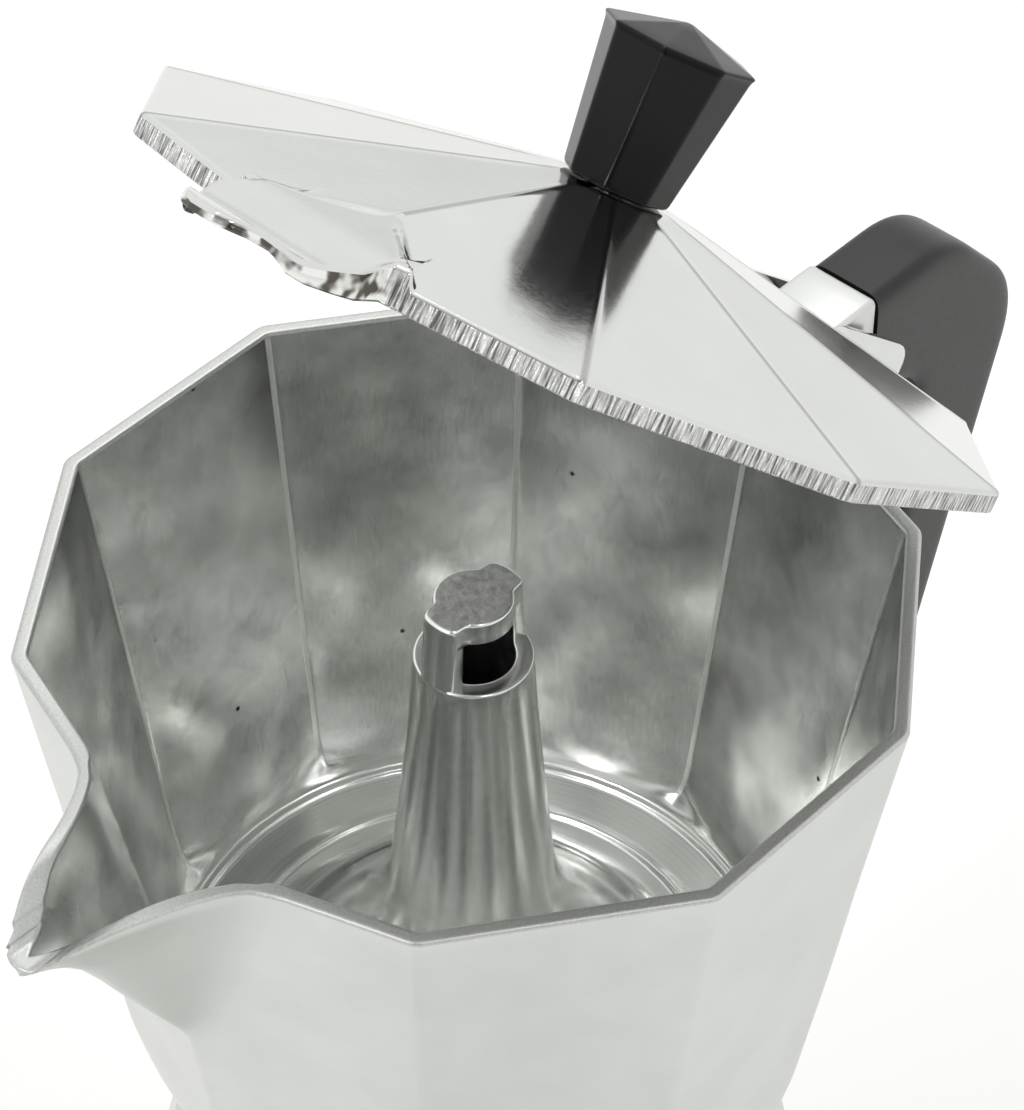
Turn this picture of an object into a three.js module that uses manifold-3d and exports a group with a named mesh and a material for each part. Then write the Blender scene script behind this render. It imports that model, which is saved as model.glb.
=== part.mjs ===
// A ten-sided stovetop coffee maker: boiler with safety valve, funnel, gasket, filter plate, and a
// collector with spout, central column, moulded handle and hinged lid. Millimetres, +Z up.
// The origin is on the pot's axis at the boiler's flat underside. The spout points to -X, the
// handle and the lid's hinge are at +X, and the hinge pin lies along Y.
import * as THREE from 'three';
import { mergeVertices } from 'three/addons/utils/BufferGeometryUtils.js';
import { LoftGeometry } from 'three/addons/geometries/LoftGeometry.js';
import Module from 'manifold-3d';

const wasm = await Module();
wasm.setup();

// ---- Driving dimensions -------------------------------------------------------------------

const R = 65; // rim radius to a corner; most proportions follow it
const SIDES = 10;
const GAP = 0.3; // clearance between neighbouring pieces
const FLAT = Math.cos(Math.PI / SIDES); // corner radius to flat distance
const CORNER_ROUND = 3; // rounding of the castings' outer corners

const BOILER_TOP = 103;
const COLLECTOR_BOTTOM = 103.6;
const RIM = 206;
const WAIST = 47; // corner radius where boiler and collector meet
const WALL = 3.2; // boiler wall

const NECK_TOP = 113.5;
const NECK_OUTER = 38.2;
const NECK_INNER = 34.6;
const SOCKET = 39.6; // collector's bore over the boiler's neck
const SEAT = 118.4; // underside of the collector's floor
const THREAD = { pitch: 3.5, turns: 2, height: 1, root: 1.7, crest: 0.9, start: 104.6 };

const FLANGE = { radius: 37.2, bottom: 113.8, top: 114.8 };
const GASKET = { inner: 28.5, outer: 37.2, bottom: 115.1, top: 118.1 };
const PLATE = { radius: 30, thickness: 1.2, bottom: 118.45 };
const BASKET = { radius: 33.9, depth: 33, wall: 1 };
const STEM = { radius: 7, wall: 1, bottom: 9 };

const PIN = { x: 1.126 * R, z: RIM - 0.072 * R, radius: 1.5, hole: 1.8 };
const BOSS = { half: 6.3, top: RIM + 0.095 * R, end: 1.255 * R };
const EAR = { inner: 9.3, outer: 11 };
const HANDLE = { half: 6.5, top: RIM + 0.093 * R };

const LID_OPEN = 37.1; // degrees open at rest
const LID_BASE = RIM + 3.4; // skirt's upper corner when shut
const LID_CORNER = 0.995 * R;
const LID_SKIRT = 3.1;
const LID_RISE = 0.198 * R;
const LID_CROWN = 8.6;
const LID_SHEET = 1.3;

const KNOB = { base: 7.9, top: 11.4, height: 21.1, tip: 24.1 };
const VALVE_Z = 68;
const VALVE_FACE = 57; // distance of the valve's pad from the axis

// ---- Materials ----------------------------------------------------------------------------

const metal = (color, roughness) => new THREE.MeshStandardMaterial({ color, roughness, metalness: 1 });
const plastic = (color, roughness) => new THREE.MeshStandardMaterial({ color, roughness, metalness: 0 });

// ---- Solids -------------------------------------------------------------------------------

// A closed geometry as a solid, turned outwards if its faces point in.
function solid(geometry) {
  const bare = new THREE.BufferGeometry().copy(geometry);
  bare.deleteAttribute('normal');
  bare.deleteAttribute('uv');
  const merged = mergeVertices(bare, 1e-4);
  const position = merged.attributes.position;
  const faces = [];
  const [a, b, c] = [new THREE.Vector3(), new THREE.Vector3(), new THREE.Vector3()];
  let volume = 0;
  for (let i = 0; i < merged.index.count; i += 3) {
    const [p, q, r] = [0, 1, 2].map((k) => merged.index.getX(i + k));
    if (p === q || q === r || r === p) continue;
    faces.push([p, q, r]);
    a.fromBufferAttribute(position, p);
    b.fromBufferAttribute(position, q);
    c.fromBufferAttribute(position, r);
    volume += a.dot(b.cross(c));
  }
  const facing = volume < 0 ? faces.map(([p, q, r]) => [p, r, q]) : faces;
  const vertProperties = new Float32Array(position.array);
  const triVerts = new Uint32Array(facing.flat());
  return new wasm.Manifold(new wasm.Mesh({ numProp: 3, vertProperties, triVerts }));
}

function mesh(name, manifold, material) {
  const { vertProperties, triVerts } = manifold.getMesh();
  const geometry = new THREE.BufferGeometry();
  geometry.setAttribute('position', new THREE.BufferAttribute(vertProperties, 3));
  geometry.setIndex(new THREE.BufferAttribute(triVerts, 1));
  geometry.computeVertexNormals();
  const made = new THREE.Mesh(geometry, material);
  made.name = name;
  return made;
}

// A profile of [radius, height] points turned round the Z axis.
function turned(profile, segments = 48) {
  const points = profile.map(([r, z]) => new THREE.Vector2(r, z));
  return solid(new THREE.LatheGeometry(points, segments).rotateX(Math.PI / 2));
}

// The same with flats: each point gives a corner's radius, and one corner lies on +X.
function faceted(profile, sides = SIDES) {
  const points = profile.map(([r, z]) => new THREE.Vector2(r, z));
  const geometry = new THREE.LatheGeometry(points, sides);
  return solid(geometry.rotateX(Math.PI / 2).rotateZ(Math.PI / 2));
}

// A turned profile whose axis points along -Y, starting from the valve's pad.
function valveTurned(profile, segments = 24) {
  const points = profile.map(([r, t]) => new THREE.Vector2(r, t));
  const geometry = new THREE.LatheGeometry(points, segments).rotateX(Math.PI);
  return solid(geometry.translate(0, -VALVE_FACE, VALVE_Z));
}

function box(x0, x1, y0, y1, z0, z1) {
  const geometry = new THREE.BoxGeometry(x1 - x0, y1 - y0, z1 - z0);
  return solid(geometry.translate((x0 + x1) / 2, (y0 + y1) / 2, (z0 + z1) / 2));
}

function cylinderY(radius, x, z, y0, y1, segments = 24) {
  const geometry = new THREE.CylinderGeometry(radius, radius, y1 - y0, segments);
  return solid(geometry.translate(x, (y0 + y1) / 2, z));
}

// A side outline, drawn in X and Z, given a width along Y between y0 and y1.
function slab(shape, y0, y1, bevel = 0) {
  const geometry = new THREE.ExtrudeGeometry(shape, {
    depth: y1 - y0 - 2 * bevel,
    bevelEnabled: bevel > 0,
    bevelThickness: bevel,
    bevelSize: bevel,
    bevelOffset: -bevel,
    bevelSegments: 2,
    curveSegments: 8,
  });
  return solid(geometry.rotateX(Math.PI / 2).translate(0, y1 - bevel, 0));
}

// An outline with rounded corners from [x, z, rounding] points.
function rounded(points) {
  const shape = new THREE.Shape();
  points.forEach(([x, z, round], i) => {
    const [px, pz] = points[(i + points.length - 1) % points.length];
    const [nx, nz] = points[(i + 1) % points.length];
    const here = new THREE.Vector2(x, z);
    const before = new THREE.Vector2(px, pz).sub(here).normalize().multiplyScalar(round).add(here);
    const after = new THREE.Vector2(nx, nz).sub(here).normalize().multiplyScalar(round).add(here);
    if (i === 0) shape.moveTo(before.x, before.y);
    else shape.lineTo(before.x, before.y);
    if (round > 0) shape.quadraticCurveTo(x, z, after.x, after.y);
  });
  shape.closePath();
  return shape;
}

// A surface through a row of closed sections, each one wound round the way ahead.
function lofted(sections) {
  const centre = (points) => {
    const sum = points.reduce((total, point) => total.add(point), new THREE.Vector3());
    return sum.divideScalar(points.length);
  };
  const [first, next] = sections;
  const ahead = centre(next).sub(centre(first));
  const area = new THREE.Vector3();
  first.forEach((point, i) => {
    area.add(new THREE.Vector3().crossVectors(point, first[(i + 1) % first.length]));
  });
  const wound = area.dot(ahead) < 0 ? sections.map((points) => [...points].reverse()) : sections;
  return solid(new LoftGeometry(wound, { capStart: true, capEnd: true }));
}

// A decagon at one height with its corners rounded.
function decagonRing([corner, z], round = CORNER_ROUND) {
  const reach = (round * Math.tan(Math.PI / SIDES)) / corner;
  const points = [];
  for (let i = 0; i < SIDES; i++) {
    const at = (k) => {
      const angle = (k * 2 * Math.PI) / SIDES;
      return new THREE.Vector3(corner * Math.cos(angle), corner * Math.sin(angle), z);
    };
    const from = at(i).lerp(at(i - 1), reach);
    const to = at(i).lerp(at(i + 1), reach);
    const curve = new THREE.QuadraticBezierCurve3(from, at(i), to);
    points.push(...curve.getPoints(2));
  }
  return points;
}

// One thread: a trapezoid carried along a right-hand helix, its height fading at both ends.
function threadRidge(radius, outwards, phase) {
  const steps = THREAD.turns * 24;
  const sections = [];
  for (let i = 0; i <= steps; i++) {
    const turn = (THREAD.turns * i) / steps;
    const angle = turn * 2 * Math.PI;
    const z = THREAD.start + (turn + phase) * THREAD.pitch;
    const fade = Math.min(1, i / 4 + 0.15, (steps - i) / 4 + 0.15);
    const point = (r, dz) => new THREE.Vector3(r * Math.cos(angle), r * Math.sin(angle), z + dz);
    const foot = radius - outwards * 0.6;
    const tip = radius + outwards * THREAD.height * fade;
    sections.push([
      point(foot, -THREAD.root / 2),
      point(tip, -THREAD.crest / 2),
      point(tip, THREAD.crest / 2),
      point(foot, THREAD.root / 2),
    ]);
  }
  return lofted(sections);
}

// ---- Boiler -------------------------------------------------------------------------------

const BOILER_OUTLINE = [
  [62.5, 0], [64.4, 1.6], [65, 6], [64.6, 14], [62.8, 28], [60, 43], [56.6, 58],
  [53.2, 72], [50.6, 84], [49.2, 91.5], [48, 97], [WAIST + 0.2, 101], [WAIST, BOILER_TOP],
];

function boiler() {
  const body = lofted(BOILER_OUTLINE.map((point) => decagonRing(point)));
  const inset = WALL / FLAT;
  const inside = BOILER_OUTLINE.slice(2, -3).map(([r, z]) => [r - inset, z]);
  inside[0][1] = WALL;
  const cavity = faceted([[0, WALL], ...inside, [NECK_INNER / FLAT, 96.5], [0, 96.5]]);
  const neck = turned([[0, 94], [NECK_OUTER, 94], [NECK_OUTER, NECK_TOP - 0.5],
    [NECK_OUTER - 0.5, NECK_TOP], [0, NECK_TOP]]);
  const mouth = turned([[0, 90], [NECK_INNER, 90], [NECK_INNER, NECK_TOP + 1], [0, NECK_TOP + 1]]);
  const pad = valveTurned([[0, -9], [9, -9], [9, -0.4], [8.6, 0], [0, 0]], 32);
  const hole = valveTurned([[0, -12], [5, -12], [5, 4], [0, 4]]);
  return body.add(neck).add(threadRidge(NECK_OUTER, 1, 0)).subtract(cavity).subtract(mouth)
    .add(pad).subtract(hole);
}

// ---- Safety valve, pointing to -Y ---------------------------------------------------------

const VALVE = { bore: 3.2, stem: 0.9, seat: 1.4, wire: 0.35, coil: 2, springFrom: -4, springTo: 3.8 };

function valveWasher() {
  return valveTurned([[5.1, GAP], [7.4, GAP], [7.4, 1.3], [5.1, 1.3], [5.1, GAP]]);
}

function valveBody() {
  const flange = valveTurned([[0, 1.6], [7.2, 1.6], [7.6, 2], [7.6, 5.2], [7.2, 5.6], [0, 5.6]], 6);
  const shank = valveTurned([[0, -10.4], [4.7, -10.4], [4.7, 2], [0, 2]]);
  const bore = valveTurned([[0, -6], [VALVE.bore, -4.4], [VALVE.bore, 4.1], [4.2, 4.1], [4.2, 7], [0, 7]]);
  const inlet = valveTurned([[0, -12], [VALVE.seat, -12], [VALVE.seat, 0], [0, 0]], 16);
  return flange.add(shank).subtract(bore).subtract(inlet);
}

function valvePoppet() {
  return valveTurned([[0, -5.3], [1, -5.3], [2.6, -4.6], [2.6, -4.3], [VALVE.stem, -4.3],
    [VALVE.stem, 7.2], [0.6, 7.6], [0, 7.6]], 20);
}

function valveSpring() {
  const turns = 5;
  const stepsPerTurn = 10;
  const sections = [];
  for (let i = 0; i <= turns * stepsPerTurn; i++) {
    const angle = (i / stepsPerTurn) * 2 * Math.PI;
    const t = THREE.MathUtils.lerp(VALVE.springFrom, VALVE.springTo, i / (turns * stepsPerTurn));
    const ring = [];
    for (let k = 0; k < 5; k++) {
      const side = (k / 5) * 2 * Math.PI;
      const r = VALVE.coil + VALVE.wire * Math.cos(side);
      const out = t + VALVE.wire * Math.sin(side);
      ring.push(new THREE.Vector3(
        r * Math.cos(angle), -VALVE_FACE - out, VALVE_Z + r * Math.sin(angle)));
    }
    sections.push(ring);
  }
  return lofted(sections);
}

function valveCap() {
  return valveTurned([[1.2, 4.4], [3.9, 4.4], [3.9, 5.4], [1.2, 5.4], [1.2, 4.4]]);
}

// ---- Funnel, gasket and filter plate ------------------------------------------------------

function funnel() {
  const { radius, bottom, top } = FLANGE;
  const { depth, wall } = BASKET;
  const floor = top - depth;
  const joint = floor - 15; // where the cone has narrowed to the stem
  const inner = BASKET.radius - wall;
  return turned([
    [inner, top], [radius, top], [radius, bottom], [BASKET.radius, bottom],
    [BASKET.radius, floor - 1], [STEM.radius, joint], [STEM.radius, STEM.bottom],
    [STEM.radius - STEM.wall, STEM.bottom], [STEM.radius - STEM.wall, joint + 0.4],
    [inner - 1.6, floor - 1.4], [inner - 1.6, floor], [inner, floor], [inner, top],
  ], 40);
}

// A disc with rings of holes.
function perforated(disc, rings, hole, z) {
  let made = disc;
  for (const [radius, count] of rings) {
    for (let i = 0; i < count; i++) {
      const angle = (i / count) * 2 * Math.PI;
      const drill = new THREE.CylinderGeometry(hole, hole, 8, 6).rotateX(Math.PI / 2);
      drill.translate(radius * Math.cos(angle), radius * Math.sin(angle), z);
      made = made.subtract(solid(drill));
    }
  }
  return made;
}

function funnelSieve() {
  const floor = FLANGE.top - BASKET.depth + GAP;
  const radius = BASKET.radius - BASKET.wall - GAP;
  const disc = turned([[0, floor], [radius, floor], [radius, floor + 0.8], [0, floor + 0.8]], 40);
  return perforated(disc, [[6, 6], [13.5, 12], [21, 18]], 1, floor);
}

function gasket() {
  const { inner, outer, bottom, top } = GASKET;
  return turned([[inner, bottom], [outer - 0.4, bottom], [outer, bottom + 0.4], [outer, top - 0.4],
    [outer - 0.4, top], [inner, top], [inner, bottom]], 40);
}

function filterPlate() {
  const { radius, thickness, bottom } = PLATE;
  const top = bottom + thickness;
  const disc = turned([[0, bottom], [radius, bottom], [radius, top], [0, top]], 40);
  return perforated(disc, [[5.5, 6], [12, 12], [18.5, 18]], 1, bottom);
}

// ---- Collector ----------------------------------------------------------------------------

// Corner radii of the wall outside and inside, from the waist up to the rim.
const COLLECTOR_OUTLINE = [
  [WAIST - 0.2, COLLECTOR_BOTTOM], [47.4, 106.5], [49, 111], [50.9, 118], [52.6, 125],
  [53.7, 131.5], [56.9, 152], [60.2, 175], [R, RIM - 0.5], [R - 0.4, RIM],
];
const CHAMBER_OUTLINE = [[50, 126.6], [51, 128.4], [56.4, 166], [62.56, RIM], [63.4, RIM + 8]];
const CHAMBER_LOW = 119.5;

// Floor, cone and column between the chamber and the filter plate: [radius, height].
const COLUMN_TOP = RIM - 0.8;
const COLUMN_SILL = RIM - 0.186 * R;
const COLUMN_CAP = RIM - 0.075 * R;
const FLOOR_OUTLINE = [
  [48.6, 126.6], [47, 123.4], [45.8, 122.5], [36.8, 121.8], [36, 121],
  [32.8, 121.2], [30.4, 122.6], [17.4, 136.6], [14.4, 141.4], [12.7, 146],
  [11, 163], [9.2, 184.3], [8.65, COLUMN_SILL], [7.9, COLUMN_TOP],
];
const PLATE_ROOF = 120.3;
const BORE_OUTLINE = [[27, PLATE_ROOF], [14.6, 133.4], [11, 140.6], [9.4, 146], [8, 163],
  [6.3, 184], [5.4, COLUMN_CAP]];

// The spout's sections, from the wall outwards: x, half width, rim height and keel height.
const SPOUT = [
  [0.86, 0.3, 0, -0.74], [0.897, 0.29, 0, -0.68], [0.93, 0.246, 0, -0.63], [0.978, 0.214, 0, -0.554],
  [1.03, 0.187, 0, -0.47], [1.08, 0.166, 0, -0.386], [1.13, 0.149, 0, -0.3], [1.18, 0.13, -0.002, -0.222],
  [1.235, 0.107, -0.012, -0.168], [1.29, 0.075, -0.038, -0.132], [1.335, 0.048, -0.062, -0.108],
  [1.347, 0.036, -0.07, -0.1],
];

const SPOUT_REACH = SPOUT[SPOUT.length - 1][0];

// A V with a rounded keel between two lips: `thin` draws it in by the wall's thickness.
function spoutSection([x, half, rim, keel], thin, lift) {
  const width = Math.max(half * R - thin, 0.8);
  const top = RIM + rim * R;
  const low = Math.min(RIM + keel * R + thin * 1.5, top - 1.2);
  const points = [];
  for (let k = -6; k <= 6; k++) {
    const side = k / 6;
    const fall = 1 - Math.abs(side) ** 1.25;
    points.push(new THREE.Vector3(-x * R, side * width, top - 1 - (top - 1 - low) * fall));
  }
  points.push(new THREE.Vector3(-x * R, width, top + lift));
  points.push(new THREE.Vector3(-x * R, -width, top + lift));
  return points;
}

function spout() {
  return lofted(SPOUT.map((station) => spoutSection(station, 0, 0)));
}

function spoutChannel() {
  const wall = 2.2;
  const reach = SPOUT_REACH - 1.6 / R;
  const stations = SPOUT.map(([x, ...rest], i) => [i === 0 ? x - 0.06 : Math.min(x, reach), ...rest]);
  return lofted(stations.slice(0, -1).map((station) => spoutSection(station, wall, 6)));
}

// The block behind the rim that carries the hinge pin, with a tenon for the handle.
function hingeBlock() {
  const { half, top, end } = BOSS;
  const block = slab(rounded([
    [54, 160, 0], [end, 190, 3], [end, top, 1.5], [58, top, 0],
  ]), -half, half, 0.8);
  const tenon = box(end - 2, end + 13, -3, 3, 194, 204);
  const screwHole = new THREE.CylinderGeometry(1.9, 1.9, 40, 20).rotateX(Math.PI / 2);
  const pinHole = cylinderY(PIN.hole, PIN.x, PIN.z, -20, 20);
  return block.add(tenon).subtract(solid(screwHole.translate(end + 7, 0, 200))).subtract(pinHole);
}

// What is left standing in the chamber: its floor, the cone and the column.
function core() {
  return turned([[0, CHAMBER_LOW], [54, CHAMBER_LOW], [54, FLOOR_OUTLINE[0][1]], ...FLOOR_OUTLINE,
    [0, COLUMN_TOP]], 40);
}

// The two windows, open from the sill to the column's top, on either side of the webs.
function windows() {
  const web = 3;
  const side = (y0, y1) => box(-12, 12, y0, y1, COLUMN_SILL, COLUMN_TOP + 2);
  return side(-12, -web).add(side(web, 12));
}

function columnCap() {
  return turned([[0, COLUMN_CAP], [5.7, COLUMN_CAP], [5.7, COLUMN_TOP - 0.3],
    [5.4, COLUMN_TOP], [0, COLUMN_TOP]], 32);
}

// The bore over the boiler's neck, with seats for the gasket and the filter plate.
function socket() {
  const seal = GASKET.outer + 0.4;
  const plate = PLATE.radius + 0.6;
  return turned([[0, 100], [SOCKET, 100], [SOCKET, SEAT - 4], [seal, SEAT - 3], [seal, SEAT],
    [plate, SEAT], [plate, PLATE_ROOF], [0, PLATE_ROOF]]);
}

function collector() {
  const shell = lofted(COLLECTOR_OUTLINE.map((point) => decagonRing(point)));
  const chamber = faceted([[0, CHAMBER_LOW], [CHAMBER_OUTLINE[0][0], CHAMBER_LOW], ...CHAMBER_OUTLINE,
    [0, RIM + 8]]);
  const bore = turned([[0, PLATE_ROOF - 1], [27, PLATE_ROOF - 1], ...BORE_OUTLINE, [0, COLUMN_CAP]], 32);
  return shell.add(spout()).add(hingeBlock()).subtract(chamber.subtract(core()))
    .subtract(spoutChannel()).subtract(windows()).subtract(socket()).subtract(bore)
    .add(columnCap()).add(threadRidge(SOCKET, -1, 0.5));
}

// ---- Handle and hinge pin -----------------------------------------------------------------

const HANDLE_SCREW_X = BOSS.end + 7;

function handle() {
  const { half, top } = HANDLE;
  const at = (x, z, round) => [x * R, RIM + z * R, round];
  const outline = rounded([
    [BOSS.end + GAP, top, 0], at(1.555, 0.093, 8), at(1.845, -0.215, 9),
    at(1.557, -1.18, 0), at(1.505, -1.35, 4), at(1.4, -1.43, 3.5), at(1.285, -1.36, 4),
    at(1.33, -1.1, 8), at(1.47, -0.62, 12), at(1.46, -0.26, 8),
    [BOSS.end + GAP, 190, 0],
  ]);
  const body = slab(outline, -half, half, 1.4);
  const mortise = box(BOSS.end - 2, BOSS.end + 13 + GAP, -3 - GAP, 3 + GAP, 194 - GAP, 204 + GAP);
  const hole = turned([[0, 180], [3.6, 180], [3.6, 191.8], [1.9, 191.8], [1.9, 206], [0, 206]], 20)
    .translate([HANDLE_SCREW_X, 0, 0]);
  return body.subtract(mortise).subtract(hole);
}

function handleScrew() {
  return turned([[0, 189.4], [2.6, 189.4], [3.2, 190.2], [3.2, 191.4], [1.6, 191.4], [1.6, 205.4],
    [0, 205.4]], 20).translate([HANDLE_SCREW_X, 0, 0]);
}

function hingePin() {
  const end = EAR.outer + 0.8;
  return cylinderY(PIN.radius, PIN.x, PIN.z, -end, end);
}

// ---- Lid, built shut and turned open about the pin -----------------------------------------

// The tongue over the spout: x, half width, and its top and lower edge above the skirt's corner.
// It leaves the front ridge as a flat, widens to the spout's roots and ends in a raised lip.
const TONGUE = [
  [0.69, 0.012, 0.068, 0.02], [0.8, 0.12, 0.054, -0.012], [0.92, 0.243, 0.033, -0.048],
  [0.978, 0.222, 0.022, -0.048], [1.03, 0.197, 0.013, -0.048], [1.08, 0.176, 0.004, -0.048],
  [1.135, 0.15, -0.007, -0.046], [1.175, 0.132, 0.001, -0.036], [1.215, 0.115, 0.024, -0.008],
  [1.26, 0.087, 0.031, 0], [1.29, 0.06, 0.029, 0], [1.308, 0.03, 0.026, 0],
];

function tongueSection([x, half, rise, lowest], thin) {
  const width = Math.max(half * R - thin, 0.4);
  const top = LID_BASE + rise * R - thin;
  const low = LID_BASE + lowest * R - thin * 8;
  const edge = Math.min(0.6, width / 2);
  const at = (y, z) => new THREE.Vector3(-x * R, y, z);
  return [at(-width, low), at(width, low), at(width, top - edge), at(width - edge, top),
    at(-width + edge, top), at(-width, top - edge)];
}

function tongue() {
  return lofted(TONGUE.map((station) => tongueSection(station, 0)));
}

function tongueHollow() {
  return lofted(TONGUE.slice(1, -1).map((station) => tongueSection(station, LID_SHEET)));
}

function ears() {
  const { x, z } = PIN;
  const top = RIM + 0.083 * R;
  const outline = rounded([
    [0.86 * R, top - 1, 0], [0.86 * R, RIM + 1, 0], [0.965 * R, RIM + 1, 1], [x - 5.5, z - 6.5, 3],
    [x + 3, z - 9.6, 4], [x + 8.2, z - 2, 4], [x + 8, top - 1.5, 4], [0.93 * R, top, 2],
  ]);
  return [slab(outline, -EAR.outer, -EAR.inner), slab(outline, EAR.inner, EAR.outer)];
}

function lid() {
  const inner = LID_SHEET / FLAT;
  const lowest = LID_BASE - LID_SKIRT;
  const shell = faceted([
    [0, LID_BASE + LID_RISE], [LID_CROWN, LID_BASE + LID_RISE], [LID_CORNER, LID_BASE],
    [LID_CORNER, lowest], [LID_CORNER - inner, lowest], [LID_CORNER - inner, LID_BASE - 0.9],
    [LID_CROWN, LID_BASE + LID_RISE - LID_SHEET], [0, LID_BASE + LID_RISE - LID_SHEET],
  ]);
  const notch = box(0.915 * R, 1.1 * R, -EAR.inner - 1, EAR.inner + 1, lowest - 1, LID_BASE + 6);
  const pinHole = cylinderY(PIN.hole, PIN.x, PIN.z, -20, 20);
  const screwHole = turned([[0, LID_BASE], [2.3, LID_BASE], [2.3, LID_BASE + 30], [0, LID_BASE + 30]], 20);
  let made = shell.add(tongue()).subtract(tongueHollow()).subtract(notch);
  for (const ear of ears()) made = made.add(ear);
  return made.subtract(pinHole).subtract(screwHole);
}

function knob() {
  const base = LID_BASE + LID_RISE + GAP;
  const { base: low, top, height, tip } = KNOB;
  const body = faceted([[0, base], [low, base], [top - 0.5, base + height - 0.6], [top, base + height],
    [0, base + tip]], 8);
  const bore = turned([[0, base - 1], [2.3, base - 1], [2.3, base + 14], [0, base + 14]], 20);
  return body.rotate([0, 0, 22.5]).subtract(bore);
}

function knobScrew() {
  const under = LID_BASE + LID_RISE - LID_SHEET;
  return turned([[0, under - 3.6], [3.2, under - 3.6], [4, under - 2.8], [4, under - 1.6],
    [2, under - 1.6], [2, under + 12], [0, under + 12]], 20);
}

function knobWasher() {
  const under = LID_BASE + LID_RISE - LID_SHEET;
  return turned([[2.3, under - 1.3], [6.4, under - 1.3], [6.4, under - GAP], [2.3, under - GAP],
    [2.3, under - 1.3]], 24);
}

// ---- Assembly -----------------------------------------------------------------------------

const aluminium = metal(0xd3d5d2, 0.28);
const sheet = metal(0xdedfdc, 0.16);
const brass = metal(0xc8a252, 0.35);
const steel = metal(0xb9bbbd, 0.3);
const phenolic = plastic(0x2b2b29, 0.42);
const rubber = plastic(0xe6e3da, 0.7);

const pot = new THREE.Group();
pot.add(
  mesh('boiler', boiler(), aluminium),
  mesh('valve_washer', valveWasher(), plastic(0x8c2f22, 0.7)),
  mesh('valve_body', valveBody(), brass),
  mesh('valve_poppet', valvePoppet(), steel),
  mesh('valve_spring', valveSpring(), steel),
  mesh('valve_cap', valveCap(), brass),
  mesh('funnel', funnel(), aluminium),
  mesh('funnel_sieve', funnelSieve(), aluminium),
  mesh('gasket', gasket(), rubber),
  mesh('filter_plate', filterPlate(), aluminium),
  mesh('collector', collector(), aluminium),
  mesh('handle', handle(), phenolic),
  mesh('handle_screw', handleScrew(), steel),
  mesh('hinge_pin', hingePin(), steel),
);

const hinged = new THREE.Group();
hinged.add(
  mesh('lid', lid(), sheet),
  mesh('knob', knob(), phenolic),
  mesh('knob_screw', knobScrew(), steel),
  mesh('knob_washer', knobWasher(), steel),
);
hinged.children.forEach((piece) => piece.geometry.translate(-PIN.x, 0, -PIN.z));
hinged.position.set(PIN.x, 0, PIN.z);
hinged.rotation.y = THREE.MathUtils.degToRad(LID_OPEN);
pot.add(hinged);

export default pot;
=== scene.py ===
import math

import bpy
import numpy as np
from mathutils import Matrix, Vector


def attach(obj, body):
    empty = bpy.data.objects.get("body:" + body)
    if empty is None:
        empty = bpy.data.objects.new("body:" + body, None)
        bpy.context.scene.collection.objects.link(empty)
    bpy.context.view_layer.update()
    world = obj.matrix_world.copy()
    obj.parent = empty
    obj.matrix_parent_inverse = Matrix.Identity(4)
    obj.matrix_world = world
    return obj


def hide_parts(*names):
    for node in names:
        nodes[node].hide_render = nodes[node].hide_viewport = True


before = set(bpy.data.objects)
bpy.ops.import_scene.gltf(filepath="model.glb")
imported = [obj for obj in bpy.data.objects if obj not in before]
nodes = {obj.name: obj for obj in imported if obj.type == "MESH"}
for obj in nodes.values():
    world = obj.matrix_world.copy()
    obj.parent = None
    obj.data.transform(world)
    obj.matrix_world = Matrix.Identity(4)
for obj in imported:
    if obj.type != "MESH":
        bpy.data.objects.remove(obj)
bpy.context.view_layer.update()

scene = bpy.context.scene

# ---- Studio --------------------------------------------------------------------------------
# The pot stands on a pale seamless table in a room that is bright all round, with three small
# softboxes high up at the spout's side, behind the handle and in front. The camera looks down
# into the open chamber.

MM = 0.001
RIM_CORNER = 65.0
RIM = 206.0


def linear(colour):
    """An sRGB hex colour as linear red, green, blue and alpha."""
    part = np.array([int(colour[i:i + 2], 16) for i in (1, 3, 5)]) / 255
    low, high = part / 12.92, ((part + 0.055) / 1.055) ** 2.4
    return (*np.where(part <= 0.04045, low, high), 1.0)


def add(tree, kind, inputs=None, **settings):
    """Adds a node. An input is given by its name or number, as a value or as a socket to link."""
    node = tree.nodes.new(kind)
    for key, value in settings.items():
        setattr(node, key, value)
    for key, value in (inputs or {}).items():
        if isinstance(value, bpy.types.NodeSocket):
            tree.links.new(value, node.inputs[key])
        else:
            node.inputs[key].default_value = value
    return node


def new_finish(name, **fixed):
    """A new material, its node tree, its Principled shader and each point's place in metres.

    The fixed values are the shader's inputs that never vary."""
    material = bpy.data.materials.new(name)
    material.use_nodes = True
    shader = material.node_tree.nodes["Principled BSDF"]
    for key, value in fixed.items():
        shader.inputs[key.replace("_", " ")].default_value = value
    tree = material.node_tree
    return material, tree, shader, add(tree, "ShaderNodeTexCoord").outputs["Object"]


azimuth, elevation, roll = (math.radians(angle) for angle in (-48.16, 44.26, 0.67))
back = Vector((math.sin(azimuth) * math.cos(elevation),
               -math.cos(azimuth) * math.cos(elevation), math.sin(elevation)))
level = Vector((math.cos(azimuth), math.sin(azimuth), 0))
upright = back.cross(level)
right = math.cos(roll) * level + math.sin(roll) * upright
up = math.cos(roll) * upright - math.sin(roll) * level
aim = Vector((0, 0, RIM)) + RIM_CORNER * (9.114 * back + 0.0826 * right + 0.0807 * up)
camera = bpy.data.objects.new("camera", bpy.data.cameras.new("camera"))
camera.data.lens = 137.5
camera.data.clip_start = 0.01
camera.matrix_world = (Matrix.Translation(aim * MM)
                       @ Matrix((right, up, back)).transposed().to_4x4())
scene.collection.objects.link(camera)
scene.camera = camera
scene.view_settings.view_transform = "Standard"

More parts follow.
